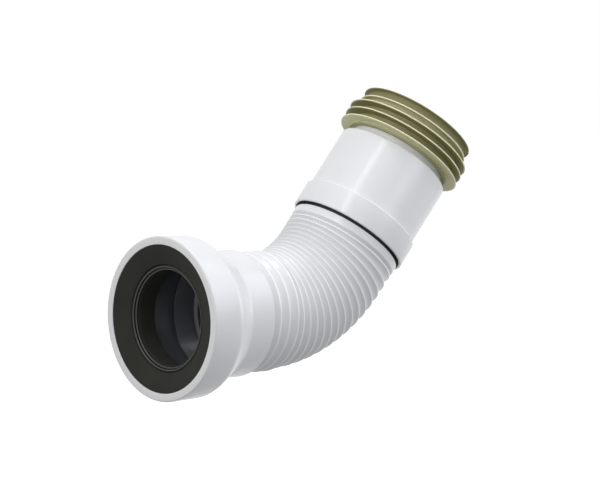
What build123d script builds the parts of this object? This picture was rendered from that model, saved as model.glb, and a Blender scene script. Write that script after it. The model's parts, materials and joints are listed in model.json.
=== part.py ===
"""Toilet pan connector: a rubber-lined socket for the pan's outlet, a corrugated hose bent upwards
and a sleeve with a finned seal that pushes into a soil pipe.

The inlet axis lies along X, with its mouth facing -X. The hose bends in the XZ plane, up towards +Z.
The origin is on the inlet axis, where the inlet seal's bore begins. All sizes are in millimetres.
"""

import os
from math import atan, cos, radians, sin

from build123d import *

# Fits shared by the pieces
fit_gap = 0.15  # radial room between a spigot and the bore that holds it
seat_gap = 0.1  # axial room between a piece and the shoulder it stops on

# Inlet socket
socket_radius = 68.0
socket_draft = 1.2  # how much slimmer the cup is where its shoulder starts
socket_wall = 4.0
cup_depth = 30.0  # from the rim to the shoulder
shoulder_length = 28.0
shoulder_rounding = 12.0
neck_radius = 52.5
neck_length = 20.2
neck_wall = 2.5
neck_corner = 6.0
rim_width = 7.0  # flat rim, turned inwards to hold the seal
rim_lip = 3.0  # thickness of the turned-in rim
rim_bevel = 1.0
stop_width = 3.0  # ring inside the neck that the hose stops on

# Inlet seal
seal_bore_radius = 39.8
seal_bore_length = 18.7
seal_face_depth = 9.3  # from the rim to the start of the bore
seal_wall = 3.0
bead_rise = 3.1  # the two beads' length along the axis
bead_reach = 3.7  # how far the beads stand out from the bore
bead_height = 0.8
bead_flat = 0.4  # share of a bead's width that its flat top takes
face_recess = 0.3  # how far the face's outer edge lies behind the rim
band_length = 10.0  # outer band of the seal, behind the rim
band_wall = 5.5

# Flexible hose
hose_wall = 1.8
lead_ring_count = 3  # wide rings on the straight run by the socket
lead_ring_pitch = 9.75
bend_ring_count = 14
bend_ring_pitch = 7.37
ring_crest = 0.9  # width of a ring's crest
ring_fall = 1.4  # steep flank that faces the sleeve
lead_crest_radius = 50.2
crest_radius = 48.9
ring_depth = 3.2
top_ring_width = 9.6
top_ring_rise = 2.0
top_ring_flat = 2.2  # widest part of the top ring, which then narrows to the spigot
lip_gap = 2.7  # from the top ring to the collar's lip
bend_angle = 53.3
bend_tail = 25.0  # straight run between the bend and the collar's lip

# Outlet sleeve
barrel_radius = 49.4
barrel_length = 74.1  # from the collar's lip to the end of the barrel
barrel_wall = 2.7
barrel_bevel = 0.6
collar_step = 2.4  # how far the collar stands out from the barrel
collar_length = 21.0
collar_lip_wall = 2.2
collar_lip_bevel = 0.8
collar_edge_bevel = 0.5
collar_flare_depth = 6.0
hose_insertion = 26.0
taper_length = 6.0
spigot_radius = 42.5
spigot_wall = 2.5
spigot_bare_length = 10.6  # between the barrel and the finned seal
spigot_lip = 1.4  # shoulder in front of the finned seal

# Finned seal
fin_seat_depth = 0.8  # how deep the seal's seat is cut into the spigot
fin_base_wall = 5.0
fin_pitch = 7.65
wide_fin_count = 3
wide_fin_radius = 56.0
small_fin_count = 2
small_fin_radius = 50.9
fin_root = 2.0
fin_tip = 1.0

# Places along the inlet axis
rim_x = -seal_face_depth
shoulder_x = rim_x + cup_depth
neck_x = shoulder_x + shoulder_length
neck_end_x = neck_x + neck_length
stop_x = neck_x + stop_width

# Radii that follow from the walls and fits
rim_inner_radius = socket_radius - rim_width
cup_bore_radius = socket_radius - socket_wall
neck_bore_radius = neck_radius - neck_wall
cuff_radius = neck_bore_radius - fit_gap
stop_radius = cuff_radius - hose_wall
barrel_bore_radius = barrel_radius - barrel_wall
hose_spigot_radius = barrel_bore_radius - fit_gap
flow_radius = hose_spigot_radius - hose_wall
collar_radius = barrel_radius + collar_step
spigot_bore_radius = spigot_radius - spigot_wall
fin_seat_radius = spigot_radius - fin_seat_depth

# The hose's lengths along its centreline
hose_start_x = stop_x + seat_gap
cuff_length = neck_end_x - hose_start_x
lead_end = cuff_length + lead_ring_count * lead_ring_pitch
rings_end = lead_end + bend_ring_count * bend_ring_pitch
top_crest_start = rings_end + ring_fall + top_ring_rise
top_crest_end = top_crest_start + top_ring_flat
top_ring_end = rings_end + top_ring_width
lip_distance = top_ring_end + lip_gap
crest_middle = ring_crest / 2

# The bend starts after the wide rings and ends a straight run before the collar's lip
bend_length = lip_distance - bend_tail - lead_end
bend_radius = bend_length / radians(bend_angle)
bend_start = Vector(hose_start_x + lead_end, 0, 0)
bend_end = bend_start + bend_radius * Vector(sin(radians(bend_angle)), 0, 1 - cos(radians(bend_angle)))
outlet_direction = Vector(cos(radians(bend_angle)), 0, sin(radians(bend_angle)))
lip_centre = bend_end + bend_tail * outlet_direction
outlet_axis = Axis(lip_centre, outlet_direction)
outlet_plane = Plane(lip_centre, x_dir=outlet_direction, z_dir=(0, -1, 0))

with BuildLine() as hose_path:
    Line((hose_start_x, 0, 0), bend_start)
    TangentArc(bend_start, bend_end, tangent=(1, 0, 0))
    Line(bend_end, lip_centre + (hose_insertion - seat_gap) * outlet_direction)
centreline = hose_path.wire()

# Places along the outlet axis, from the collar's lip
fin_seal_start = barrel_length + spigot_bare_length
fin_count = wide_fin_count + small_fin_count
fin_seal_end = fin_seal_start + (fin_count - 1) * fin_pitch + fin_root
spigot_end = fin_seal_end + seat_gap + spigot_lip


# Inlet socket: a rim turned in over the seal, a shoulder of even wall, and a neck with a stop ring
shoulder_radius = socket_radius - socket_draft
shoulder_slope = (shoulder_radius - neck_radius) / shoulder_length
shoulder_wall_across = socket_wall / cos(atan(shoulder_slope))


def shoulder_inside_x(radius):
    """Where the shoulder's inner wall has the given radius."""
    return shoulder_x + (shoulder_radius - shoulder_wall_across - radius) / shoulder_slope


with BuildPart() as inlet_socket:
    with BuildSketch(Plane.XZ):
        with BuildLine():
            FilletPolyline(
                (rim_x, rim_inner_radius),
                (rim_x, socket_radius - rim_bevel),
                (rim_x + rim_bevel, socket_radius),
                (shoulder_x, shoulder_radius),
                (neck_x, neck_radius),
                (neck_end_x, neck_radius),
                radius=[0, 0, shoulder_rounding, neck_corner],
            )
            Polyline(
                (neck_end_x, neck_radius),
                (neck_end_x, neck_bore_radius),
                (stop_x, neck_bore_radius),
                (stop_x, stop_radius),
                (shoulder_inside_x(stop_radius), stop_radius),
                (shoulder_inside_x(cup_bore_radius), cup_bore_radius),
                (rim_x + rim_lip, cup_bore_radius),
                (rim_x + rim_lip, rim_inner_radius),
                (rim_x, rim_inner_radius),
            )
        make_face()
    revolve(axis=Axis.X)
inlet_socket.part.label = "inlet_socket"


# Inlet seal: a plug in the rim, a band behind it, a funnel face with two beads, and a sleeve
plug_radius = rim_inner_radius - fit_gap
band_radius = cup_bore_radius - fit_gap
band_inner_radius = band_radius - band_wall
band_x = rim_x + rim_lip + seat_gap
face_x = rim_x + face_recess
bead_outer = Vector(-bead_rise, seal_bore_radius + bead_reach)
bore_start = Vector(0, seal_bore_radius)
bead_across = (bore_start - bead_outer) / 2
bead_out = Vector(-bead_reach, -bead_rise).normalized() * bead_height
bead_slant = (1 - bead_flat) / 2
sleeve_radius = seal_bore_radius + seal_wall
face_slope = (bead_outer.X - face_x) / (plug_radius - bead_outer.Y)


def web_back_x(radius):
    """Where the back of the funnel face has the given radius."""
    return face_x + seal_wall + (plug_radius - radius) * face_slope


with BuildPart() as inlet_seal:
    with BuildSketch(Plane.XZ):
        with BuildLine():
            Polyline(
                bead_outer,
                bead_outer + bead_slant * bead_across + bead_out,
                bead_outer + (1 - bead_slant) * bead_across + bead_out,
                bead_outer + bead_across,
                bead_outer + (1 + bead_slant) * bead_across + bead_out,
                bead_outer + (2 - bead_slant) * bead_across + bead_out,
                bore_start,
                (seal_bore_length, seal_bore_radius),
                (seal_bore_length, sleeve_radius),
                (web_back_x(sleeve_radius), sleeve_radius),
                (web_back_x(band_inner_radius), band_inner_radius),
                (band_x + band_length, band_inner_radius),
                (band_x + band_length, band_radius),
                (band_x, band_radius),
                (band_x, plug_radius),
                (face_x, plug_radius),
                bead_outer,
            )
        make_face()
    revolve(axis=Axis.X)
inlet_seal.part.label = "inlet_seal"


# Flexible hose: circles along the centreline, joined ring by ring, with an even wall
def across_hose(distance):
    """Plane across the hose at a distance along its centreline. The bend's rings fan out evenly."""
    fan_share = (distance - lead_end) / (rings_end - lead_end)
    lean = radians(bend_angle) * min(max(fan_share, 0), 1)
    return Plane(
        centreline.position_at(distance, PositionMode.LENGTH),
        x_dir=(0, 1, 0),
        z_dir=(cos(lean), 0, sin(lean)),
    )


def rings():
    """Where each ring starts and ends along the hose, and its crest's radius, from the socket up."""
    for ring in range(lead_ring_count):
        ring_start = cuff_length + ring * lead_ring_pitch
        yield ring_start, ring_start + lead_ring_pitch, lead_crest_radius
    for ring in range(bend_ring_count):
        ring_start = lead_end + ring * bend_ring_pitch
        yield ring_start, ring_start + bend_ring_pitch, crest_radius


def hose_outside():
    """Stretches of the outside, each a row of distances along the hose and radii there."""
    yield (0, cuff_radius), (cuff_length, cuff_radius)
    seat_radius = cuff_radius
    for ring_start, ring_end, ring_radius in rings():
        yield (
            (ring_start, seat_radius),
            (ring_start + ring_fall, ring_radius - ring_depth),
            (ring_end - ring_crest, ring_radius),
            (ring_end, ring_radius),
        )
        seat_radius = ring_radius
    yield (
        (rings_end, crest_radius),
        (rings_end + ring_fall, crest_radius - ring_depth),
        (top_crest_start, crest_radius),
        (top_crest_end, crest_radius),
        (top_ring_end, hose_spigot_radius),
        (centreline.length, hose_spigot_radius),
    )


def hose_inside():
    """Stretches of the inside, a wall within the outside."""
    cuff_bore_radius = cuff_radius - hose_wall
    yield (0, cuff_bore_radius), (cuff_length - crest_middle, cuff_bore_radius)
    seat_radius = cuff_bore_radius
    for ring_start, ring_end, ring_radius in rings():
        yield (
            (ring_start - crest_middle, seat_radius),
            (ring_start + ring_fall, ring_radius - ring_depth - hose_wall),
            (ring_end - crest_middle, ring_radius - hose_wall),
        )
        seat_radius = ring_radius - hose_wall
    top_bore_radius = crest_radius - hose_wall
    yield (
        (rings_end - crest_middle, top_bore_radius),
        (rings_end + ring_fall, top_bore_radius - ring_depth),
        (top_crest_start + crest_middle, top_bore_radius),
        (top_crest_end - crest_middle, top_bore_radius),
        (top_ring_end - crest_middle, flow_radius),
        (centreline.length, flow_radius),
    )


with BuildPart() as flexible_hose:
    for stretch in hose_outside():
        for distance, radius in stretch:
            with BuildSketch(across_hose(distance)):
                Circle(radius)
        loft(ruled=True)
    for stretch in hose_inside():
        for distance, radius in stretch:
            with BuildSketch(across_hose(distance)):
                Circle(radius)
        loft(ruled=True, mode=Mode.SUBTRACT)
flexible_hose.part.label = "flexible_hose"


# Outlet sleeve: a collar flared round the hose, a barrel, and a spigot with a seat for the seal
with BuildPart() as outlet_sleeve:
    with BuildSketch(outlet_plane):
        with BuildLine():
            Polyline(
                (0, collar_radius - collar_lip_wall),
                (0, collar_radius - collar_lip_bevel),
                (collar_lip_bevel, collar_radius),
                (collar_length - collar_edge_bevel, collar_radius),
                (collar_length, collar_radius - collar_edge_bevel),
                (collar_length, barrel_radius),
                (barrel_length - barrel_bevel, barrel_radius),
                (barrel_length, barrel_radius - barrel_bevel),
                (barrel_length, spigot_radius),
                (fin_seal_start - seat_gap, spigot_radius),
                (fin_seal_start - seat_gap, fin_seat_radius),
                (fin_seal_end + seat_gap, fin_seat_radius),
                (fin_seal_end + seat_gap, spigot_radius),
                (spigot_end, spigot_radius),
                (spigot_end, spigot_bore_radius),
                (barrel_length - barrel_wall, spigot_bore_radius),
                (barrel_length - barrel_wall - taper_length, flow_radius),
                (hose_insertion, flow_radius),
                (hose_insertion, barrel_bore_radius),
                (collar_flare_depth, barrel_bore_radius),
                (0, collar_radius - collar_lip_wall),
            )
        make_face()
    revolve(axis=outlet_axis)
outlet_sleeve.part.label = "outlet_sleeve"


# Finned seal: a tube in the spigot's seat, with fins that thin towards their rims
with BuildPart() as outlet_fin_seal:
    with BuildSketch(outlet_plane):
        fin_base_radius = fin_seat_radius + fin_base_wall
        with BuildLine():
            Polyline(
                (fin_seal_start, fin_seat_radius + fit_gap),
                (fin_seal_start, fin_base_radius),
                (fin_seal_end, fin_base_radius),
                (fin_seal_end, fin_seat_radius + fit_gap),
                close=True,
            )
        make_face()
        for fin in range(fin_count):
            fin_x = fin_seal_start + fin * fin_pitch
            fin_radius = wide_fin_radius if fin < wide_fin_count else small_fin_radius
            with BuildLine():
                Polyline(
                    (fin_x, fin_seat_radius + fit_gap),
                    (fin_x, fin_radius),
                    (fin_x + fin_tip, fin_radius),
                    (fin_x + fin_root, fin_base_radius),
                    (fin_x + fin_root, fin_seat_radius + fit_gap),
                    close=True,
                )
            make_face()
    revolve(axis=outlet_axis)
outlet_fin_seal.part.label = "outlet_fin_seal"


os.makedirs("parts", exist_ok=True)
export_step(inlet_socket.part, "parts/inlet_socket.step")
export_step(inlet_seal.part, "parts/inlet_seal.step")
export_step(flexible_hose.part, "parts/flexible_hose.step")
export_step(outlet_sleeve.part, "parts/outlet_sleeve.step")
export_step(outlet_fin_seal.part, "parts/outlet_fin_seal.step")
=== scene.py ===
"""Studio scene for a flexible toilet pan connector.

Each piece is rebuilt over its CAD solid with rounded edges and the finish of the real material, with
painted light and shade on some faces, then lit and framed as a product picture. Lengths are in metres. The
inlet axis lies along X, the hose bends up in the XZ plane, and the outlet's pieces lie on the slanted axis
of the outlet mount.
"""

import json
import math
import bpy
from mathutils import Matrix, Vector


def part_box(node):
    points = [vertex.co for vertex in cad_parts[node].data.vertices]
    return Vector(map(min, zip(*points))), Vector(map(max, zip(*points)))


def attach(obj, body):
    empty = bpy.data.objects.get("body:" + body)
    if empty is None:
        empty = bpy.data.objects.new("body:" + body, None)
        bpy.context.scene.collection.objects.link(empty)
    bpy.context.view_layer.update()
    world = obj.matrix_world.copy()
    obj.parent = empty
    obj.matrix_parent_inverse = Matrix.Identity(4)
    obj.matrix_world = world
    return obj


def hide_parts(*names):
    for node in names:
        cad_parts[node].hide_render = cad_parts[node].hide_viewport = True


bl_info = {
    "name": "Pan Connector Studio",
    "version": (1, 0, 0),
    "blender": (4, 5, 0),
    "location": "View3D > Sidebar > Pan Connector",
    "description": "Builds a flexible toilet pan connector over its CAD solids and lights it",
    "category": "Object",
}

import bmesh
import bpy
from bpy.props import FloatProperty, FloatVectorProperty, IntProperty, PointerProperty
from bpy.types import Operator, Panel, PropertyGroup
from mathutils import Matrix, Vector
from mathutils.kdtree import KDTree

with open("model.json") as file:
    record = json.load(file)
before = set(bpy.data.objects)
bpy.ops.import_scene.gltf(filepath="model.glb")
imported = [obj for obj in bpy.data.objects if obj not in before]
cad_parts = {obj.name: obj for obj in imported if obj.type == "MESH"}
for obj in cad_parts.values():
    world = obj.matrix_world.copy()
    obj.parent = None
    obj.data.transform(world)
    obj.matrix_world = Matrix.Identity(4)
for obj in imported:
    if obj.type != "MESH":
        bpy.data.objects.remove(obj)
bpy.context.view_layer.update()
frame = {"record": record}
mounts = {mount["name"]: mount for mount in frame["record"]["mounts"]}
finishes = {finish["slot"]: finish["base_color"][:3] for finish in frame["record"]["materials"]}
mm = 0.001


def length(name, description, millimetres):
    """A size that the sidebar shows as a length."""
    return FloatProperty(name=name, description=description, default=millimetres * mm, unit="LENGTH")


def angle(name, description, degrees):
    """An angle that the sidebar shows in degrees."""
    return FloatProperty(name=name, description=description, default=math.radians(degrees), subtype="ANGLE")


def number(name, description, value):
    """A plain number."""
    return FloatProperty(name=name, description=description, default=value)


def count(name, description, value):
    """A whole number."""
    return IntProperty(name=name, description=description, default=value)


def shade(name, description, colour):
    """A colour that the sidebar shows as a swatch."""
    return FloatVectorProperty(
        name=name, description=description, default=colour, subtype="COLOR", min=0, max=1
    )


class SocketSizes(PropertyGroup):
    """Sizes of the white socket at the inlet."""

    radius: length("Radius", "Outside radius at the rim", 68.0)
    draft: length("Draft", "How much slimmer the cup is at its shoulder", 1.2)
    wall: length("Wall", "Thickness of the cup and shoulder", 4.0)
    cup_depth: length("Cup depth", "From the rim to the shoulder", 30.0)
    shoulder: length("Shoulder", "Length of the conical shoulder", 23.0)
    neck_radius: length("Neck radius", "Outside radius of the neck", 52.5)
    neck_length: length("Neck length", "Length of the neck", 25.2)
    neck_wall: length("Neck wall", "Thickness of the neck", 2.5)
    rim_width: length("Rim width", "Width of the flat rim", 7.0)
    rim_lip: length("Rim lip", "Thickness of the turned-in rim", 3.0)
    stop_width: length("Stop width", "Width of the ring that the hose stops on", 3.0)


class SealSizes(PropertyGroup):
    """Sizes of the black rubber boot in the socket."""

    bore_radius: length("Bore radius", "Radius of the sleeve's bore", 39.8)
    bore_length: length("Bore length", "Length of the sleeve's bore", 18.7)
    wall: length("Wall", "Thickness of the rubber", 3.0)
    bead_rise: length("Bead rise", "Length of the two beads along the axis", 3.1)
    bead_reach: length("Bead reach", "How far the beads stand out from the bore", 3.7)
    bead_height: length("Bead height", "Height of a bead over the face", 0.8)
    groove: length("Groove", "Depth of the grooves beside the beads", 1.2)
    band_length: length("Band length", "Length of the band behind the rim", 10.0)
    band_wall: length("Band wall", "Thickness of the band", 5.5)


class HoseSizes(PropertyGroup):
    """Sizes of the corrugated hose."""

    wall: length("Wall", "Thickness of the hose", 1.8)
    lead_rings: count("Lead rings", "Wide rings on the straight run", 3)
    lead_pitch: length("Lead pitch", "Distance between the wide rings", 9.75)
    lead_radius: length("Lead radius", "Crest radius of the wide rings", 50.2)
    bend_rings: count("Bend rings", "Rings round the bend", 14)
    bend_pitch: length("Bend pitch", "Distance between the bend's rings", 7.37)
    bend_radius: length("Crest radius", "Crest radius of the bend's rings", 48.9)
    depth: length("Ring depth", "Height of a crest over the groove behind it", 3.2)
    crest: length("Crest width", "Width of a ring's crest", 1.1)
    hollow: number("Hollow", "How hollow a ring's long flank is", 1.9)
    fall: length("Fall", "Length of a ring's steep flank", 1.4)
    top_width: length("Top ring", "Width of the plain ring at the top", 10.3)
    top_rise: length("Top rise", "Length of the top ring's lower flank", 2.0)
    top_flat: length("Top flat", "Widest part of the top ring, before its upper edge", 6.6)
    lip_gap: length("Lip gap", "From the top ring to the sleeve's lip", 2.0)
    slit: length("Slit", "Depth of the groove between the top ring and the lip", 1.2)
    tail: length("Tail", "Straight run between the bend and the sleeve's lip", 25.0)
    insertion: length("Insertion", "How far the hose enters the sleeve", 25.9)
    edge: length("Edge", "Rounding along the crests and grooves", 0.25)


class SleeveSizes(PropertyGroup):
    """Sizes of the white sleeve at the outlet."""

    radius: length("Radius", "Outside radius of the barrel", 49.4)
    barrel: length("Barrel", "From the lip to the end of the barrel", 77.1)
    wall: length("Wall", "Thickness of the barrel", 2.7)
    collar_step: length("Collar step", "How far the collar stands out", 2.4)
    collar: length("Collar", "Length of the collar", 21.0)
    lip_wall: length("Lip wall", "Thickness of the collar's lip", 2.2)
    lip_room: length("Lip room", "Depth of the room inside the lip", 16.0)
    taper: length("Taper", "Length of the taper inside the barrel", 6.0)
    spigot_radius: length("Spigot radius", "Outside radius of the spigot", 42.5)
    spigot_wall: length("Spigot wall", "Thickness of the spigot", 2.5)
    bare_spigot: length("Bare spigot", "From the barrel to the finned seal", 7.6)
    seat_depth: length("Seat depth", "How deep the finned seal's seat is", 0.8)
    spigot_lip: length("Spigot lip", "Shoulder in front of the finned seal", 1.4)


class FinSizes(PropertyGroup):
    """Sizes of the finned seal."""

    base_wall: length("Base wall", "Thickness of the tube that carries the fins", 5.0)
    pitch: length("Pitch", "Distance between fins", 7.65)
    wide_fins: count("Wide fins", "Number of wide fins", 3)
    wide_radius: length("Wide radius", "Radius of the wide fins", 56.0)
    small_fins: count("Small fins", "Number of small fins", 2)
    small_radius: length("Small radius", "Radius of the small fins", 50.9)
    hub: length("Hub", "How far the tube reaches back towards the barrel", 2.2)
    # The rim is the band at a fin's edge that carries the painted highlight
    rim: length("Rim", "Width of the pale rim on a fin's face", 0.9)
    root: length("Root", "Thickness of a fin at its root", 2.0)
    tip: length("Tip", "Thickness of a fin at its rim", 1.0)


class FinishColours(PropertyGroup):
    """Colours of the materials, some of them painted light and shade."""

    plastic: shade("Plastic", "White polypropylene", finishes["white_plastic"])
    # Painted shade: dark colour on the white plastic inside the socket and in the slit under the sleeve's
    # lip
    inside_shade: shade("Inside shade", "Dark inside of the socket and of the slit under the lip", (0.075, 0.08, 0.095))
    # Painted shade: the white hose's inside faces darkened to grey
    hose_inside: shade("Hose inside", "Grey inside of the hose", (0.2, 0.205, 0.235))
    # Painted highlight: paler tone on the crests of the hose's rings
    crest: shade("Crest", "Pale crests of the hose's rings", (0.98, 0.985, 0.99))
    rubber: shade("Rubber", "Black rubber", finishes["black_rubber"])
    # Painted highlight: lighter tone on the rubber beads, together with a higher specular level
    bead: shade("Bead", "Polished beads of the black rubber", (0.06, 0.06, 0.056))
    elastomer: shade("Elastomer", "Olive elastomer", finishes["olive_elastomer"])
    # Painted light: lighter olive on the first fin's face
    lit_fin_face: shade("Fin face", "Light face of the first fin", (0.74, 0.72, 0.43))
    # Painted shade: darker olive on the band under the last fin
    end_band_shade: shade("End band", "Dark band under the last fin", (0.26, 0.245, 0.11))
    # Painted highlight: pale cream on the fin rims
    fin_rim_highlight: shade("Fin rim", "Pale rims of the fins", (0.95, 0.92, 0.68))
    # Painted shade: darker olive in the grooves between the wide fins
    groove: shade("Groove", "Deep olive between the wide fins", (0.34, 0.325, 0.15))


class StudioSettings(PropertyGroup):
    """The camera, the floor and the lamps."""

    azimuth: angle("Azimuth", "Camera's turn about Z", -41.51)
    elevation: angle("Elevation", "Camera's height angle", 10.9)
    roll: angle("Roll", "Camera's turn about its own axis", 4.74)
    distance: length("Distance", "From the camera to the socket's mouth", 3952.0)
    focal_pixels: number("Focal length", "In pixels of the picture", 4851.7)
    mouth_across: number("Mouth across", "Where the mouth lies across the picture, in pixels", 160.86)
    mouth_down: number("Mouth down", "Where the mouth lies down the picture, in pixels", 319.2)
    floor_drop: length("Floor drop", "From the inlet axis down to the floor, as below a pan", 185.0)
    floor_glow: number("Floor glow", "White that the floor adds to what the lamps make of it", 0.885)
    ambient: number("Ambient", "Strength of the light all round", 0.2)
    lamp_distance: length("Lamp distance", "From the lamps to where they point", 1600.0)
    aim_along: length("Aim along", "Where the lamps point, along the inlet axis", 140.0)
    aim_up: length("Aim up", "Where the lamps point, over the inlet axis", 50.0)
    cool_light: shade("Cool light", "Colour of the front, streak and glint lamps", (0.95, 0.97, 1.0))
    warm_light: shade("Warm light", "Colour of the lamps at the left and overhead", (1.0, 0.985, 0.94))


# The picture's size in pixels
picture_width = 600
picture_height = 500
# Steps round a piece, up a ring's long flank, round a corner and across a rounded edge
turns = 160
flank_steps = 6
corner_steps = 5
edge_steps = 2
# Angles in degrees: edges sharper than these are rounded on the hose, or stay crisp in the shading
edge_angle = 18
hose_smoothing = 15
turned_smoothing = 35
# Room between pieces that mate, along the axis and round it
seat_gap = 0.1 * mm
fit_gap = 0.15 * mm


class AxisLine:
    """The axis of a turned piece: where distances start, which way they run, and a way out from it."""

    def __init__(self, origin, along):
        self.origin = Vector(origin)
        self.along = Vector(along).normalized()
        self.out = Vector((0, 1, 0)).cross(self.along) * -1

    def point(self, distance, radius):
        """A point at a distance along the axis and a radius from it."""
        return self.origin + self.along * distance + self.out * radius


inlet_line = AxisLine(mounts["inlet"]["pos_m"], -Vector(mounts["inlet"]["axis"]))
outlet_line = AxisLine(mounts["outlet"]["pos_m"], mounts["outlet"]["axis"])
rim_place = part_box("inlet_socket")[0].x


def add_piece(name):
    """Start a piece as one vertex in edit mode."""
    bpy.ops.object.select_all(action="DESELECT")
    bpy.ops.mesh.primitive_plane_add(size=mm)
    piece = bpy.context.object
    piece.name = name
    piece.data.name = name
    bpy.ops.object.mode_set(mode="EDIT")
    bpy.ops.mesh.select_all(action="SELECT")
    bpy.ops.mesh.merge(type="CENTER")
    return piece


def select_near(piece, places):
    """Select the vertices at the given places and nothing else."""
    bpy.ops.mesh.select_all(action="DESELECT")
    mesh = bmesh.from_edit_mesh(piece.data)
    for place in places:
        nearest = min(mesh.verts, key=lambda vertex: (vertex.co - place).length)
        nearest.select = True
    mesh.select_flush(True)
    bmesh.update_edit_mesh(piece.data)


def draw_section(piece, line, corners):
    """Extrude the vertex round a closed section, then round the corners that ask for it."""
    places = [line.point(distance, radius) for distance, radius, rounding in corners]
    bpy.ops.transform.translate(value=places[0])
    for here, there in zip(places, places[1:]):
        bpy.ops.mesh.extrude_vertices_move(TRANSFORM_OT_translate={"value": there - here})
    select_near(piece, (places[0], places[-1]))
    bpy.ops.mesh.edge_face_add()
    for size in sorted({rounding for distance, radius, rounding in corners if rounding}):
        asked = [place for place, corner in zip(places, corners) if corner[2] == size]
        select_near(piece, asked)
        bpy.ops.mesh.bevel(affect="VERTICES", offset=size, segments=corner_steps, clamp_overlap=True)


def spin_section(line):
    """Spin the section once round its axis into a closed shell."""
    bpy.ops.mesh.select_all(action="SELECT")
    bpy.ops.mesh.spin(steps=turns, angle=math.tau, center=line.origin, axis=line.along)
    bpy.ops.mesh.select_all(action="SELECT")
    bpy.ops.mesh.remove_doubles(threshold=0.002 * mm)
    bpy.ops.mesh.normals_make_consistent(inside=False)


def finish_piece(piece, node, colours, smooth_angle=turned_smoothing):
    """Smooth the shading, add the materials in order, and let the piece stand for its CAD node."""
    bpy.ops.object.mode_set(mode="OBJECT")
    bpy.ops.object.shade_smooth_by_angle(angle=math.radians(smooth_angle))
    for colour in colours:
        piece.data.materials.append(moulded_material(colour))
    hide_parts(node)
    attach(piece, "root")


def turned_piece(name, line, corners):
    """A piece made from one section spun about an axis."""
    piece = add_piece(name)
    draw_section(piece, line, corners)
    spin_section(line)
    return piece


def way_to(turn, rise):
    """A unit vector at a turn about Z, counted from X, and a height angle."""
    return Vector((math.cos(turn) * math.cos(rise), math.sin(turn) * math.cos(rise), math.sin(rise)))


def add_link(tree, source, output, target, socket):
    """Join two nodes by the names of their sockets."""
    tree.links.new(source.outputs[output], target.inputs[socket])


def shows_background(tree):
    """A node that is 1 for rays from the camera, a gloss or a clear body, and 0 for all others."""
    path = tree.nodes.new("ShaderNodeLightPath")
    seen = tree.nodes.new("ShaderNodeMath")
    seen.operation = "MAXIMUM"
    add_link(tree, path, "Is Camera Ray", seen, 0)
    add_link(tree, path, "Is Glossy Ray", seen, 1)
    shown = tree.nodes.new("ShaderNodeMath")
    shown.operation = "MAXIMUM"
    add_link(tree, seen, "Value", shown, 0)
    add_link(tree, path, "Is Transmission Ray", shown, 1)
    return shown


def moulded_surface():
    """Node group for moulded plastic and rubber: soft mottling, uneven gloss and a fine grain."""
    name = "moulded_surface"
    if name in bpy.data.node_groups:
        return bpy.data.node_groups[name]
    group = bpy.data.node_groups.new(name, "ShaderNodeTree")
    for socket, kind in (
        ("Tone", "NodeSocketColor"),
        ("Second tone", "NodeSocketColor"),
        ("Mottle scale", "NodeSocketFloat"),
        ("Gloss low", "NodeSocketFloat"),
        ("Gloss high", "NodeSocketFloat"),
        ("Grain scale", "NodeSocketFloat"),
        ("Grain depth", "NodeSocketFloat"),
    ):
        group.interface.new_socket(socket, in_out="INPUT", socket_type=kind)
    group.interface.new_socket("Color", in_out="OUTPUT", socket_type="NodeSocketColor")
    group.interface.new_socket("Roughness", in_out="OUTPUT", socket_type="NodeSocketFloat")
    group.interface.new_socket("Normal", in_out="OUTPUT", socket_type="NodeSocketVector")
    add = group.nodes.new
    given = add("NodeGroupInput")
    result = add("NodeGroupOutput")
    place = add("ShaderNodeTexCoord")
    mottle = add("ShaderNodeTexNoise")
    mottle.inputs["Detail"].default_value = 3
    tones = add("ShaderNodeMix")
    tones.data_type = "RGBA"
    sheen = add("ShaderNodeTexNoise")
    sheen.inputs["Scale"].default_value = 90
    sheen.inputs["Detail"].default_value = 4
    gloss = add("ShaderNodeMapRange")
    gloss.inputs["From Min"].default_value = 0.3
    gloss.inputs["From Max"].default_value = 0.7
    grain = add("ShaderNodeTexNoise")
    grain.inputs["Detail"].default_value = 2
    bump = add("ShaderNodeBump")
    bump.inputs["Distance"].default_value = 0.05 * mm
    add_link(group, place, "Object", mottle, "Vector")
    add_link(group, given, "Mottle scale", mottle, "Scale")
    add_link(group, mottle, "Fac", tones, "Factor")
    group.links.new(given.outputs["Tone"], tones.inputs[6])
    group.links.new(given.outputs["Second tone"], tones.inputs[7])
    group.links.new(tones.outputs[2], result.inputs["Color"])
    add_link(group, place, "Object", sheen, "Vector")
    add_link(group, sheen, "Fac", gloss, "Value")
    add_link(group, given, "Gloss low", gloss, "To Min")
    add_link(group, given, "Gloss high", gloss, "To Max")
    add_link(group, gloss, "Result", result, "Roughness")
    add_link(group, place, "Object", grain, "Vector")
    add_link(group, given, "Grain scale", grain, "Scale")
    add_link(group, grain, "Fac", bump, "Height")
    add_link(group, given, "Grain depth", bump, "Strength")
    add_link(group, bump, "Normal", result, "Normal")
    return group


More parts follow.
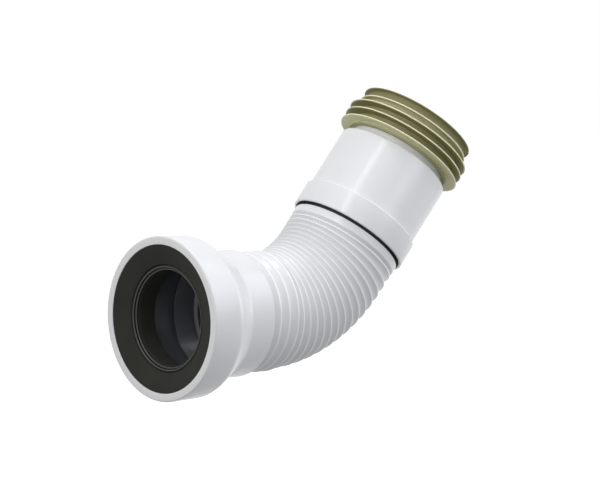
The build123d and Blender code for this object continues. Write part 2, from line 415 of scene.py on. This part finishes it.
# For each colour: the material, the second tone's share of the first, the mottle's scale, the range of
# gloss, the grain's scale and depth, and the specular level
surfaces = {
    "plastic": ("white_polypropylene", 0.985, 24, (0.22, 0.26), (500, 0.01), 0.5),
    # Painted shade inside the socket and in the slit under the lip
    "inside_shade": ("dark_lining", 0.9, 24, (0.2, 0.24), (500, 0.01), 0.4),
    # Painted shade inside the hose
    "hose_inside": ("grey_inside", 0.95, 24, (0.22, 0.26), (500, 0.01), 0.4),
    # Painted highlight on the ring crests
    "crest": ("pale_ring_crest", 0.985, 24, (0.18, 0.22), (500, 0.01), 0.5),
    "rubber": ("black_moulded_rubber", 1.5, 40, (0.45, 0.55), (1400, 0.2), 0.03),
    # Painted highlight on the beads
    "bead": ("polished_bead_rubber", 0.9, 40, (0.3, 0.35), (1400, 0.05), 0.3),
    "elastomer": ("olive_elastomer", 0.86, 60, (0.5, 0.62), (1400, 0.3), 0.5),
    # Painted light on the first fin's face
    "lit_fin_face": ("light_fin_face", 0.92, 60, (0.5, 0.62), (1400, 0.2), 0.5),
    # Painted shade under the last fin
    "end_band_shade": ("dark_end_band", 0.9, 60, (0.5, 0.62), (1400, 0.3), 0.5),
    # Painted shade between the wide fins
    "groove": ("deep_olive_groove", 0.88, 60, (0.5, 0.62), (1400, 0.2), 0.5),
    # Painted highlight on the fin rims
    "fin_rim_highlight": ("pale_fin_rim", 0.92, 60, (0.5, 0.62), (1400, 0.2), 0.5),
}


def moulded_material(colour):
    """The material of a colour, on the moulded surface group."""
    name, second_share, mottle, gloss, grain, specular = surfaces[colour]
    if name in bpy.data.materials:
        return bpy.data.materials[name]
    tone = getattr(bpy.context.scene.pan_colours, colour)
    material = bpy.data.materials.new(name)
    material.use_nodes = True
    tree = material.node_tree
    shader = tree.nodes["Principled BSDF"]
    shader.inputs["Specular IOR Level"].default_value = specular
    surface = tree.nodes.new("ShaderNodeGroup")
    surface.node_tree = moulded_surface()
    surface.inputs["Tone"].default_value = (*tone, 1)
    surface.inputs["Second tone"].default_value = (*(second_share * value for value in tone), 1)
    surface.inputs["Mottle scale"].default_value = mottle
    surface.inputs["Gloss low"].default_value = gloss[0]
    surface.inputs["Gloss high"].default_value = gloss[1]
    surface.inputs["Grain scale"].default_value = grain[0]
    surface.inputs["Grain depth"].default_value = grain[1]
    add_link(tree, surface, "Color", shader, "Base Color")
    add_link(tree, surface, "Roughness", shader, "Roughness")
    add_link(tree, surface, "Normal", shader, "Normal")
    return material


class PAN_OT_inlet_socket(Operator):
    """Turn the white socket: a flat rim, a cup, a conical shoulder and a neck"""

    bl_idname = "pan.inlet_socket"
    bl_label = "Inlet socket"

    def execute(self, context):
        size = context.scene.pan_socket
        hose = context.scene.pan_hose
        shoulder_place = rim_place + size.cup_depth
        neck_place = shoulder_place + size.shoulder
        neck_end = neck_place + size.neck_length
        shoulder_radius = size.radius - size.draft
        slope = (shoulder_radius - size.neck_radius) / size.shoulder
        wall_across = size.wall / math.cos(math.atan(slope))
        rim_inner = size.radius - size.rim_width
        cup_bore = size.radius - size.wall
        neck_bore = size.neck_radius - size.neck_wall
        stop_place = neck_place + size.stop_width
        stop_radius = neck_bore - fit_gap - hose.wall

        def shoulder_inside(radius):
            return shoulder_place + (shoulder_radius - wall_across - radius) / slope

        corners = (
            (rim_place, rim_inner, 0.4 * mm),
            (rim_place, size.radius, 1.5 * mm),
            (shoulder_place, shoulder_radius, 3.0 * mm),
            (neck_place, size.neck_radius, 2.2 * mm),
            (neck_end, size.neck_radius, 0.5 * mm),
            (neck_end, neck_bore, 0.3 * mm),
            (stop_place, neck_bore, 0),
            (stop_place, stop_radius, 0.3 * mm),
            (shoulder_inside(stop_radius), stop_radius, 2.2 * mm),
            (shoulder_inside(cup_bore), cup_bore, 3.0 * mm),
            (rim_place + size.rim_lip, cup_bore, 0),
            (rim_place + size.rim_lip, rim_inner, 0.3 * mm),
        )
        piece = turned_piece("white_socket", inlet_line, corners)
        colours = ("plastic", "inside_shade")
        finish_piece(piece, "inlet_socket", colours)
        # Painted shade: faces inside the socket, behind the rim's lip, take the dark colour instead of
        # white plastic
        for face in piece.data.polygons:
            inwards = face.normal.y * face.center.y + face.normal.z * face.center.z < 0
            if inwards and face.center.x > rim_place + size.rim_lip:
                face.material_index = colours.index("inside_shade")
        return {"FINISHED"}


class PAN_OT_inlet_seal(Operator):
    """Turn the rubber boot: a funnel face, two bead lips, a sleeve and a band behind the rim"""

    bl_idname = "pan.inlet_seal"
    bl_label = "Inlet seal"

    def execute(self, context):
        size = context.scene.pan_seal
        socket = context.scene.pan_socket
        plug_radius = socket.radius - socket.rim_width - fit_gap
        band_radius = socket.radius - socket.wall - fit_gap
        band_inner = band_radius - size.band_wall
        band_place = rim_place + socket.rim_lip + seat_gap
        face_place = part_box("inlet_seal")[0].x
        sleeve_radius = size.bore_radius + size.wall
        bead_start = Vector((-size.bead_rise, size.bore_radius + size.bead_reach))
        bead_half = (Vector((0, size.bore_radius)) - bead_start) / 2
        bead_out = Vector((-size.bead_reach, -size.bead_rise)).normalized()
        bead_top = bead_out * size.bead_height
        groove = bead_out * -size.groove
        face_way = (Vector((face_place, plug_radius)) - bead_start).normalized()
        face_slope = (bead_start.x - face_place) / (plug_radius - bead_start.y)

        def web_back(radius):
            return face_place + size.wall + (plug_radius - radius) * face_slope

        beads = [(*(bead_start + size.groove * face_way), 0.2 * mm)]
        for bead in range(2):
            foot = bead_start + bead * bead_half
            beads.append((*(foot + groove), 0))
            beads.append((*(foot + 0.25 * bead_half + bead_top), 0.35 * mm))
            beads.append((*(foot + 0.75 * bead_half + bead_top), 0.35 * mm))
        corners = (
            *beads,
            (*(bead_start + 2 * bead_half + groove), 0),
            (2 * size.groove, size.bore_radius, 0.2 * mm),
            (size.bore_length, size.bore_radius, 0.8 * mm),
            (size.bore_length, sleeve_radius, 0.8 * mm),
            (web_back(sleeve_radius), sleeve_radius, 1.0 * mm),
            (web_back(band_inner), band_inner, 0.5 * mm),
            (band_place + size.band_length, band_inner, 0.6 * mm),
            (band_place + size.band_length, band_radius, 0.6 * mm),
            (band_place, band_radius, 0.2 * mm),
            (band_place, plug_radius, 0),
            (face_place, plug_radius, 0.4 * mm),
        )
        piece = turned_piece("rubber_boot", inlet_line, corners)
        colours = ("rubber", "bead")
        finish_piece(piece, "inlet_seal", colours)
        # Painted highlight: the bead faces take the lighter tone
        for face in piece.data.polygons:
            place = Vector((face.center.x, math.hypot(face.center.y, face.center.z)))
            if (place - bead_start).dot(bead_out) > size.bead_height / 2:
                face.material_index = colours.index("bead")
        return {"FINISHED"}


class PAN_OT_flexible_hose(Operator):
    """Extrude the corrugated hose ring by ring along its bend, outside first and then back inside"""

    bl_idname = "pan.flexible_hose"
    bl_label = "Flexible hose"

    def execute(self, context):
        size = context.scene.pan_hose
        socket = context.scene.pan_socket
        sleeve = context.scene.pan_sleeve
        start = rim_place + socket.cup_depth + socket.shoulder + socket.stop_width + seat_gap
        neck_end = rim_place + socket.cup_depth + socket.shoulder + socket.neck_length
        cuff_length = neck_end - start
        lead_end = cuff_length + size.lead_rings * size.lead_pitch
        rings_end = lead_end + size.bend_rings * size.bend_pitch
        top_end = rings_end + size.top_width
        lip_distance = top_end + size.lip_gap
        hose_end = lip_distance + size.insertion
        bend_angle = math.atan2(outlet_line.along.z, outlet_line.along.x)
        bend_length = lip_distance - size.tail - lead_end
        bend_radius = bend_length / bend_angle
        cuff_radius = socket.neck_radius - socket.neck_wall - fit_gap
        spigot_radius = sleeve.radius - sleeve.wall - fit_gap

        def centre(distance):
            turn = min(max((distance - lead_end) / bend_length, 0), 1) * bend_angle
            before = start + min(distance, lead_end)
            after = max(distance - lead_end - bend_length, 0)
            along = before + bend_radius * math.sin(turn) + after * math.cos(turn)
            height = bend_radius * (1 - math.cos(turn)) + after * math.sin(turn)
            return Vector((along, 0, height))

        def lean(distance):
            return bend_angle * min(max((distance - lead_end) / (rings_end - lead_end), 0), 1)

        outside = [(0, cuff_radius), (cuff_length, cuff_radius)]
        inside = [(0, cuff_radius - size.wall), (cuff_length - size.crest / 2, cuff_radius - size.wall)]
        rings = []
        for ring in range(size.lead_rings):
            rings.append((cuff_length + ring * size.lead_pitch, size.lead_pitch, size.lead_radius))
        for ring in range(size.bend_rings):
            rings.append((lead_end + ring * size.bend_pitch, size.bend_pitch, size.bend_radius))
        for ring_start, pitch, radius in rings:
            flank = pitch - size.fall - size.crest
            for step in range(flank_steps + 1):
                share = step / flank_steps
                rise = size.depth * share**size.hollow
                outside.append((ring_start + size.fall + flank * share, radius - size.depth + rise))
            outside.append((ring_start + pitch, radius))
            inside.append((ring_start + size.fall, radius - size.depth - size.wall))
            inside.append((ring_start + pitch - size.crest / 2, radius - size.wall))
        radius = size.bend_radius
        top_crest = rings_end + size.fall + size.top_rise
        outside += [
            (rings_end + size.fall, radius - size.depth),
            (top_crest, radius),
            (top_crest + size.top_flat, radius),
            (top_end, spigot_radius - size.slit),
            (lip_distance + size.lip_gap, spigot_radius - size.slit),
            (lip_distance + 2 * size.lip_gap, spigot_radius),
            (hose_end, spigot_radius),
        ]
        bore = spigot_radius - size.wall
        inside += [
            (rings_end + size.fall, radius - size.depth - size.wall),
            (top_crest + size.crest / 2, radius - size.wall),
            (top_crest + size.top_flat - size.crest / 2, radius - size.wall),
            (top_end - size.crest / 2, bore),
            (hose_end, bore),
        ]
        bpy.ops.object.select_all(action="DESELECT")
        bpy.ops.mesh.primitive_circle_add(
            vertices=turns, radius=cuff_radius, location=centre(0), rotation=(0, math.pi / 2, 0)
        )
        piece = context.object
        piece.name = "corrugated_hose"
        piece.data.name = piece.name
        bpy.ops.object.transform_apply(location=True, rotation=True, scale=True)
        bpy.ops.object.mode_set(mode="EDIT")
        bpy.ops.mesh.select_all(action="SELECT")
        route = outside + inside[::-1] + outside[:1]
        for (here, radius), (there, next_radius) in zip(route, route[1:]):
            move = centre(there) - centre(here)
            bpy.ops.mesh.extrude_edges_move(TRANSFORM_OT_translate={"value": move})
            growth = next_radius / radius
            bpy.ops.transform.resize(value=(growth, growth, growth), center_override=centre(there))
            turn = lean(there) - lean(here)
            if turn:
                bpy.ops.transform.rotate(value=turn, orient_axis="Y", center_override=centre(there))
        bpy.ops.mesh.select_all(action="SELECT")
        bpy.ops.mesh.remove_doubles(threshold=0.02 * mm)
        bpy.ops.mesh.normals_make_consistent(inside=False)
        bpy.ops.object.mode_set(mode="OBJECT")
        edge = piece.modifiers.new("rounded_edges", "BEVEL")
        edge.width = size.edge
        edge.segments = edge_steps
        edge.limit_method = "ANGLE"
        edge.angle_limit = math.radians(edge_angle)
        bpy.ops.object.modifier_apply(modifier=edge.name)
        colours = ("plastic", "hose_inside", "inside_shade", "crest")
        finish_piece(piece, "flexible_hose", colours, hose_smoothing)
        middle = KDTree(turns + 1)
        for step in range(turns + 1):
            middle.insert(centre(hose_end * step / turns), step)
        middle.balance()
        slit_step = turns * top_end / hose_end
        lead_step = turns * lead_end / hose_end
        crest_stop = turns * (rings_end + size.crest) / hose_end
        # Painted shade on the hose's inside faces and in the slit under the sleeve's lip; painted highlight
        # on the ring crests
        for face in piece.data.polygons:
            nearest, step, reach = middle.find(face.center)
            crest_radius = size.lead_radius if step < lead_step + 1 else size.bend_radius
            if face.normal.dot(face.center - nearest) < 0:
                face.material_index = colours.index("hose_inside")
            elif step < crest_stop and reach > crest_radius - size.edge:
                face.material_index = colours.index("crest")
            elif step >= slit_step and reach < spigot_radius + seat_gap:
                face.material_index = colours.index("inside_shade")
        return {"FINISHED"}


class PAN_OT_outlet_sleeve(Operator):
    """Turn the white sleeve: a collar round the hose, a barrel and a spigot for the seal"""

    bl_idname = "pan.outlet_sleeve"
    bl_label = "Outlet sleeve"

    def execute(self, context):
        size = context.scene.pan_sleeve
        hose = context.scene.pan_hose
        fins = context.scene.pan_fins
        barrel_end = -size.bare_spigot
        lip = barrel_end - size.barrel
        collar_radius = size.radius + size.collar_step
        barrel_bore = size.radius - size.wall
        flow_radius = barrel_bore - fit_gap - hose.wall
        spigot_bore = size.spigot_radius - size.spigot_wall
        seat_radius = size.spigot_radius - size.seat_depth
        seat_end = (fins.wide_fins + fins.small_fins - 1) * fins.pitch + fins.root + seat_gap
        spigot_end = seat_end + size.spigot_lip
        hose_stop = lip + hose.insertion + seat_gap
        corners = (
            (lip, collar_radius - size.lip_wall, 0.6 * mm),
            (lip, collar_radius, 1.0 * mm),
            (lip + size.collar, collar_radius, 0.9 * mm),
            (lip + size.collar, size.radius, 0.5 * mm),
            (barrel_end, size.radius, 3.0 * mm),
            (barrel_end, size.spigot_radius, 0.8 * mm),
            (-seat_gap, size.spigot_radius, 0),
            (-seat_gap, seat_radius, 0),
            (seat_end, seat_radius, 0),
            (seat_end, size.spigot_radius, 0.2 * mm),
            (spigot_end, size.spigot_radius, 0.5 * mm),
            (spigot_end, spigot_bore, 0.5 * mm),
            (barrel_end - size.wall, spigot_bore, 1.0 * mm),
            (barrel_end - size.wall - size.taper, flow_radius, 1.0 * mm),
            (hose_stop, flow_radius, 0.2 * mm),
            (hose_stop, barrel_bore, 0),
            (lip + size.lip_room, barrel_bore, 0.5 * mm),
            (lip + size.lip_room, collar_radius - size.lip_wall, 0.5 * mm),
        )
        piece = turned_piece("white_sleeve", outlet_line, corners)
        finish_piece(piece, "outlet_sleeve", ("plastic",))
        return {"FINISHED"}


class PAN_OT_fin_seal(Operator):
    """Turn the finned seal: a hub, wide fins and small fins at the end, with painted highlight on the fin
    rims, painted light on the first fin's face and painted shade in the grooves and under the last fin
    """

    bl_idname = "pan.fin_seal"
    bl_label = "Finned seal"

    def execute(self, context):
        size = context.scene.pan_fins
        sleeve = context.scene.pan_sleeve
        seat_radius = sleeve.spigot_radius - sleeve.seat_depth
        bore = seat_radius + fit_gap
        base_radius = seat_radius + size.base_wall
        fin_radii = [size.wide_radius] * size.wide_fins + [size.small_radius] * size.small_fins
        hub_bore = sleeve.spigot_radius + fit_gap
        corners = [
            (0, bore, 0),
            (0, hub_bore, 0),
            (-size.hub, hub_bore, 0),
            (-size.hub, base_radius, 0.4 * mm),
        ]
        for fin, fin_radius in enumerate(fin_radii):
            back = fin * size.pitch
            corners.append((back, base_radius, 0.5 * mm))
            corners.append((back, fin_radius - size.rim, 0))
            corners.append((back, fin_radius, 0.35 * mm))
            corners.append((back + size.tip, fin_radius, 0.35 * mm))
            corners.append((back + size.root, base_radius, 0.5 * mm))
        end = (len(fin_radii) - 1) * size.pitch + size.root
        corners.append((end, bore, 0))
        piece = turned_piece("finned_seal", outlet_line, corners)
        colours = ("elastomer", "fin_rim_highlight", "lit_fin_face", "end_band_shade", "groove")
        finish_piece(piece, "outlet_fin_seal", colours)
        end_shade_start = end - size.pitch
        groove_shade_end = (size.wide_fins - 1) * size.pitch + size.tip / 2
        # Painted shade under the last fin and in the grooves between the wide fins, painted highlight on
        # the fin rims, painted light on the first fin's face
        for face in piece.data.polygons:
            offset = face.center - outlet_line.origin
            along = offset.dot(outlet_line.along)
            radius = (offset - along * outlet_line.along).length
            fin = min(max(round((along - size.tip / 2) / size.pitch), 0), len(fin_radii) - 1)
            if along > end_shade_start:
                face.material_index = colours.index("end_band_shade")
            elif radius > fin_radii[fin] - size.rim:
                face.material_index = colours.index("fin_rim_highlight")
            elif abs(along) < size.tip / 2 and radius > base_radius:
                face.material_index = colours.index("lit_fin_face")
            elif 0 < along < groove_shade_end:
                face.material_index = colours.index("groove")
        return {"FINISHED"}


class PAN_OT_studio(Operator):
    """Set the camera, the white floor, the lamps and the light all round"""

    bl_idname = "pan.studio"
    bl_label = "Studio"

    def execute(self, context):
        setting = context.scene.pan_studio
        context.scene.view_settings.view_transform = "Standard"
        self.set_camera(context, setting)
        self.lay_floor(setting)
        self.light_room(context, setting)
        return {"FINISHED"}

    def set_camera(self, context, setting):
        """Aim the camera so that the socket's mouth falls where the picture has it."""
        roll = setting.roll
        back = way_to(setting.azimuth - math.pi / 2, setting.elevation)
        level = Vector((0, 0, 1)).cross(back).normalized()
        upright = back.cross(level)
        right = level * math.cos(roll) + upright * math.sin(roll)
        up = upright * math.cos(roll) - level * math.sin(roll)
        place = Vector((rim_place, 0, 0)) + back * setting.distance
        across = (picture_width / 2 - setting.mouth_across) / setting.focal_pixels
        raised = (setting.mouth_down - picture_height / 2) / setting.focal_pixels
        back = (back - right * across - up * raised).normalized()
        right = up.cross(back).normalized()
        up = back.cross(right)
        bpy.ops.object.camera_add()
        camera = context.object
        camera.matrix_world = Matrix.Translation(place) @ Matrix((right, up, back)).transposed().to_4x4()
        camera.data.sensor_width = 36
        camera.data.lens = setting.focal_pixels * camera.data.sensor_width / picture_width
        camera.data.clip_end = 100
        context.scene.camera = camera

    def lay_floor(self, setting):
        """A white floor that shows plain white to the camera and keeps a soft shadow."""
        bpy.ops.object.select_all(action="DESELECT")
        bpy.ops.mesh.primitive_plane_add(size=40, location=(0, 0, -setting.floor_drop))
        floor = bpy.context.object
        floor.name = "studio_floor"
        material = bpy.data.materials.new("studio_white")
        material.use_nodes = True
        tree = material.node_tree
        shader = tree.nodes["Principled BSDF"]
        shader.inputs["Base Color"].default_value = (0.25, 0.25, 0.25, 1)
        shader.inputs["Roughness"].default_value = 0.9
        glow = tree.nodes.new("ShaderNodeEmission")
        both = tree.nodes.new("ShaderNodeAddShader")
        lift = tree.nodes.new("ShaderNodeMath")
        lift.operation = "MULTIPLY"
        lift.inputs[1].default_value = setting.floor_glow
        add_link(tree, shows_background(tree), "Value", lift, 0)
        add_link(tree, lift, "Value", glow, "Strength")
        add_link(tree, shader, "BSDF", both, 0)
        add_link(tree, glow, "Emission", both, 1)
        add_link(tree, both, "Shader", tree.nodes["Material Output"], "Surface")
        floor.data.materials.append(material)

    def light_room(self, context, setting):
        """Light all round, with lamps that shade the object and draw its highlights."""
        world = bpy.data.worlds.new("studio_room")
        context.scene.world = world
        world.use_nodes = True
        tree = world.node_tree
        room = tree.nodes["Background"]
        room.inputs["Color"].default_value = (1.0, 1.0, 1.0, 1)
        level = tree.nodes.new("ShaderNodeMapRange")
        level.inputs["To Min"].default_value = setting.ambient
        level.inputs["To Max"].default_value = 1
        add_link(tree, shows_background(tree), "Value", level, "Value")
        add_link(tree, level, "Result", room, "Strength")
        aim = Vector((setting.aim_along, 0, setting.aim_up))
        cool = setting.cool_light
        warm = setting.warm_light
        for name, turn, rise, width, height, power, colour in (
            ("left_back_lamp", 165, 27, 0.9, 0.9, 7.0, warm),
            ("left_overhead_lamp", 180, 50, 1.0, 1.0, 2.5, warm),
            ("low_left_lamp", 225, 12, 0.8, 0.8, 2.2, warm),
            ("streak_lamp", 205, 48, 0.15, 1.2, 4.4, cool),
            ("overhead_lamp", 0, 90, 1.2, 1.2, 1.7, warm),
            ("front_lamp", 300, 30, 0.9, 0.9, 4.8, cool),
            ("right_front_lamp", 332, 46, 1.1, 1.1, 6.0, cool),
            ("low_front_lamp", 290, 12, 1.0, 1.0, 1.8, cool),
            ("low_right_lamp", 345, 12, 0.9, 0.9, 5.0, cool),
            ("glint_lamp", 75, 79, 0.25, 0.25, 5.2, cool),
        ):
            place = aim + way_to(math.radians(turn), math.radians(rise)) * setting.lamp_distance
            bpy.ops.object.light_add(type="AREA", location=place)
            lamp = context.object
            lamp.name = name
            lamp.rotation_euler = (aim - place).to_track_quat("-Z", "Y").to_euler()
            lamp.data.shape = "RECTANGLE"
            lamp.data.size = width
            lamp.data.size_y = height
            lamp.data.energy = power
            lamp.data.color = colour


class PAN_PT_connector(Panel):
    """Lists the connector's pieces in the sidebar"""

    bl_idname = "PAN_PT_connector"
    bl_label = "Pan Connector"
    bl_space_type = "VIEW_3D"
    bl_region_type = "UI"
    bl_category = "Pan Connector"

    def draw(self, context):
        for operator in piece_operators:
            self.layout.operator(operator.bl_idname)


piece_operators = (
    PAN_OT_inlet_socket,
    PAN_OT_inlet_seal,
    PAN_OT_flexible_hose,
    PAN_OT_outlet_sleeve,
    PAN_OT_fin_seal,
    PAN_OT_studio,
)
settings = {
    "pan_socket": SocketSizes,
    "pan_seal": SealSizes,
    "pan_hose": HoseSizes,
    "pan_sleeve": SleeveSizes,
    "pan_fins": FinSizes,
    "pan_colours": FinishColours,
    "pan_studio": StudioSettings,
}
classes = (*settings.values(), *piece_operators, PAN_PT_connector)


def register():
    for each in classes:
        bpy.utils.register_class(each)
    for name, kind in settings.items():
        setattr(bpy.types.Scene, name, PointerProperty(type=kind))


def unregister():
    for name in settings:
        delattr(bpy.types.Scene, name)
    for each in reversed(classes):
        bpy.utils.unregister_class(each)


def main():
    """Build every piece in order."""
    register()
    bpy.ops.pan.inlet_socket()
    bpy.ops.pan.inlet_seal()
    bpy.ops.pan.flexible_hose()
    bpy.ops.pan.outlet_sleeve()
    bpy.ops.pan.fin_seal()
    bpy.ops.pan.studio()


if __name__ == "__main__":
    main()
